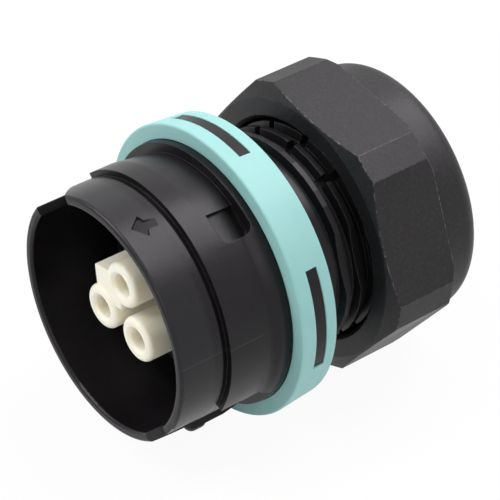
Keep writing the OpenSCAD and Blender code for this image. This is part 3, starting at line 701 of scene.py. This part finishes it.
class SOCKET_OT_gland(bpy.types.Operator):
    """Gives the clamp cage and the slip washer their finish"""

    bl_idname = "panel_socket.gland"
    bl_label = "Finish Cable Gland"

    def execute(self, context):
        c = context.scene.socket_colours
        # Moulded polyamide without colour: off-white and waxy, a little duller than the insert
        finish = pale_polyamide(
            "moulded_natural_polyamide", c.cage, c.insert_deep, roughness=0.45, glow=0.25)
        for node in ("clamp_cage", "slip_washer"):
            dress(node, finish)
        return {"FINISHED"}


class SOCKET_OT_nut(bpy.types.Operator):
    """Gives the gland nut its grained black finish"""

    bl_idname = "panel_socket.nut"
    bl_label = "Finish Gland Nut"

    def execute(self, context):
        c = context.scene.socket_colours
        # Black polyamide from a coarser tool than the shell's: duller, with a deeper grain, more flecks and
        # handling marks along the edges. The grain is drawn at a third of a millimetre, so that it shows
        finish = black_polyamide(
            "grained_black_polyamide", c.nut, roughness=0.45, grain_mm=0.36, grain_depth_mm=0.02, gloss=0.3,
            flecks=0.2, scuffs=0.7, edge_mm=0.22)
        dress("gland_nut", finish)
        return {"FINISHED"}


class SOCKET_OT_stage(bpy.types.Operator):
    """Adds the floor, the softboxes, the white surround and the camera"""

    bl_idname = "panel_socket.stage"
    bl_label = "Set Up Studio"

    def execute(self, context):
        scene = context.scene
        studio = scene.socket_studio
        self.floor(scene, studio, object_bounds()[0].z)
        self.surround(scene, studio)
        # Place and side in metres, and power
        for name, place, side, power in (
                ("back_softbox", (0.055, 0.275, 0.473), 0.40, studio.back_power),
                ("left_softbox", (-0.237, 0.275, 0.413), 0.50, studio.left_power),
                ("front_softbox", (-0.22, -0.303, 0.402), 0.35, studio.front_power),
                ("fill_softbox", (0.345, -0.272, 0.33), 0.35, studio.fill_power)):
            self.softbox(scene, name, place, side, power)
        self.camera(scene, studio)
        scene.view_settings.view_transform = "Standard"
        return {"FINISHED"}

    def seen(self, tree):
        """One for what the camera sees, also in a reflection or through glass, and nought for light"""
        path = add(tree, "ShaderNodeLightPath").outputs
        mirror = add(tree, "ShaderNodeMath", {"operation": "MAXIMUM"}, {
            0: path["Is Glossy Ray"], 1: path["Is Transmission Ray"]})
        both = add(tree, "ShaderNodeMath", {"operation": "MAXIMUM"}, {
            0: path["Is Camera Ray"], 1: mirror.outputs["Value"]})
        return both.outputs["Value"]

    def floor(self, scene, studio, height):
        """A wide sheet of white paper, which keeps the shadow"""
        mesh = bmesh.new()
        bmesh.ops.create_grid(mesh, x_segments=1, y_segments=1, size=3.0)
        data = bpy.data.meshes.new("paper_floor")
        mesh.to_mesh(data)
        mesh.free()
        floor = bpy.data.objects.new("paper_floor", data)
        floor.location.z = height
        scene.collection.objects.link(floor)
        floor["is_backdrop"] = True
        # Matt white paper with fibres of about a millimetre: to the eye and in reflections it is mostly its
        # own white, and the rest of it keeps the shadow
        paper = bpy.data.materials.new("matt_white_paper")
        paper.use_nodes = True
        tree = paper.node_tree
        tree.nodes.clear()
        fibre = add(tree, "ShaderNodeTexNoise", inputs={"Scale": per_metre(1.2), "Detail": 3.0})
        white = add(tree, "ShaderNodeMapRange", inputs={
            "Value": fibre.outputs["Fac"], "To Min": 0.84, "To Max": 0.86})
        lit = add(tree, "ShaderNodeBsdfDiffuse", inputs={"Color": white.outputs["Result"]})
        own = add(tree, "ShaderNodeEmission", inputs={"Color": (1, 1, 1, 1), "Strength": 1.0})
        share = add(tree, "ShaderNodeMath", {"operation": "MULTIPLY"}, {
            0: self.seen(tree), 1: studio.floor_white})
        mix = add(tree, "ShaderNodeMixShader", inputs={
            0: share.outputs["Value"], 1: lit.outputs["BSDF"], 2: own.outputs["Emission"]})
        add(tree, "ShaderNodeOutputMaterial", inputs={"Surface": mix.outputs["Shader"]})
        data.materials.append(paper)

    def surround(self, scene, studio):
        """White walls: plain white to the camera and in reflections, softer as light"""
        world = bpy.data.worlds.new("white_surround")
        scene.world = world
        world.use_nodes = True
        tree = world.node_tree
        tree.nodes.clear()
        strength = add(tree, "ShaderNodeMapRange", inputs={
            "Value": self.seen(tree), "To Min": studio.surround, "To Max": 1.0})
        light = add(tree, "ShaderNodeBackground", inputs={
            "Color": (1, 1, 1, 1), "Strength": strength.outputs["Result"]})
        add(tree, "ShaderNodeOutputWorld", inputs={"Surface": light.outputs["Background"]})

    def softbox(self, scene, name, place, side, power):
        """A square lamp that looks at the socket"""
        lamp = bpy.data.lights.new(name, "AREA")
        lamp.shape = "SQUARE"
        lamp.size = side
        lamp.energy = power
        holder = bpy.data.objects.new(name, lamp)
        holder.location = place
        holder.rotation_euler = Vector(place).to_track_quat("Z", "Y").to_euler()
        scene.collection.objects.link(holder)

    def camera(self, scene, studio):
        """A long lens, level with the horizon, which puts the panel seat on its place in the frame"""
        data = bpy.data.cameras.new("studio_camera")
        data.sensor_width = 36.0
        data.lens = studio.lens
        data.clip_start = 0.01
        data.clip_end = 20.0
        holder = bpy.data.objects.new("studio_camera", data)
        a, e = studio.azimuth, studio.elevation
        back = Vector((math.sin(a) * math.cos(e), -math.cos(a) * math.cos(e), math.sin(e)))
        right = Vector((math.cos(a), math.sin(a), 0.0))
        up = back.cross(right)
        # Side of the frame, and the panel seat's place in it, in pixels
        frame_px, seat_px = 500.0, (238.8, 255.0)
        pixel = data.sensor_width / data.lens * studio.distance / frame_px
        place = (back * studio.distance
                 - right * (seat_px[0] - frame_px / 2) * pixel
                 + up * (seat_px[1] - frame_px / 2) * pixel)
        holder.matrix_world = Matrix((right, up, back)).transposed().to_4x4()
        holder.location = place
        scene.collection.objects.link(holder)
        scene.camera = holder


class SOCKET_PT_panel(bpy.types.Panel):
    """Lists the steps and their values"""

    bl_idname = "SOCKET_PT_panel"
    bl_label = "Panel Socket"
    bl_space_type = "VIEW_3D"
    bl_region_type = "UI"
    bl_category = "Panel Socket"

    def draw(self, context):
        for group in ("socket_colours", "socket_sizes", "socket_studio"):
            values = getattr(context.scene, group)
            column = self.layout.column(align=True)
            for name in values.__annotations__:
                column.prop(values, name)
        for step in STEPS:
            self.layout.operator(step.bl_idname)


STEPS = (
    SOCKET_OT_shell, SOCKET_OT_ring, SOCKET_OT_insert, SOCKET_OT_contacts,
    SOCKET_OT_seals, SOCKET_OT_gland, SOCKET_OT_nut, SOCKET_OT_stage,
)
CLASSES = (SocketColours, SocketSizes, SocketStudio, *STEPS, SOCKET_PT_panel)


def register():
    for cls in CLASSES:
        bpy.utils.register_class(cls)
    bpy.types.Scene.socket_colours = PointerProperty(type=SocketColours)
    bpy.types.Scene.socket_sizes = PointerProperty(type=SocketSizes)
    bpy.types.Scene.socket_studio = PointerProperty(type=SocketStudio)


def unregister():
    del bpy.types.Scene.socket_studio
    del bpy.types.Scene.socket_sizes
    del bpy.types.Scene.socket_colours
    for cls in reversed(CLASSES):
        bpy.utils.unregister_class(cls)


def main():
    register()
    for step in STEPS:
        group, name = step.bl_idname.split(".")
        getattr(getattr(bpy.ops, group), name)()


if __name__ == "__main__":
    main()
